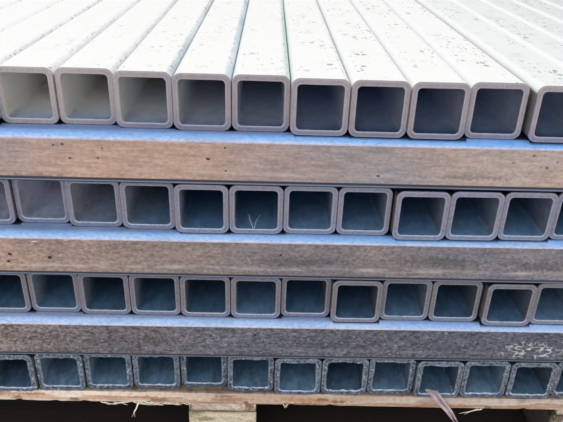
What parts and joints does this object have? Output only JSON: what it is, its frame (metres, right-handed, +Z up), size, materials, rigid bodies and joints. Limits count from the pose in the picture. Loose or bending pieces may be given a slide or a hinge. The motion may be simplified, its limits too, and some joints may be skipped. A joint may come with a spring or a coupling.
{
  "type": "stack of steel tubes",
  "caption": "Square steel tubes stacked in crossing layers on a wooden block pallet, with the cut ends of every other layer at the front.",
  "frame": {"origin": "on the floor, under the middle of the load's box", "axes": "+Z up, -Y towards the cut ends that the picture shows, +X to their right"},
  "size_m": [1.2238, 1.2224, 0.555],
  "materials": {
    "tube_steel": "mill finish, dull, with rust film and scuffs",
    "pallet_wood": "rough sawn softwood, unfinished"
  },
  "bodies": {
    "root": {"block_back_centre": "pallet_wood", "block_back_left": "pallet_wood", "block_back_right": "pallet_wood", "block_front_centre": "pallet_wood", "block_front_left": "pallet_wood", "block_front_right": "pallet_wood", "block_middle_centre": "pallet_wood", "block_middle_left": "pallet_wood", "block_middle_right": "pallet_wood", "bottom_board_back": "pallet_wood", "bottom_board_front": "pallet_wood", "bottom_board_middle": "pallet_wood", "cross_tubes_1": "tube_steel", "cross_tubes_2": "tube_steel", "cross_tubes_3": "tube_steel", "deck_board_1": "pallet_wood", "deck_board_2": "pallet_wood", "deck_board_3": "pallet_wood", "deck_board_4": "pallet_wood", "deck_board_5": "pallet_wood", "deck_board_6": "pallet_wood", "deck_board_7": "pallet_wood", "row_tubes_1": "tube_steel", "row_tubes_2": "tube_steel", "row_tubes_3": "tube_steel", "row_tubes_4": "tube_steel", "stringer_board_centre": "pallet_wood", "stringer_board_left": "pallet_wood", "stringer_board_right": "pallet_wood"}
  },
  "joints": []
}
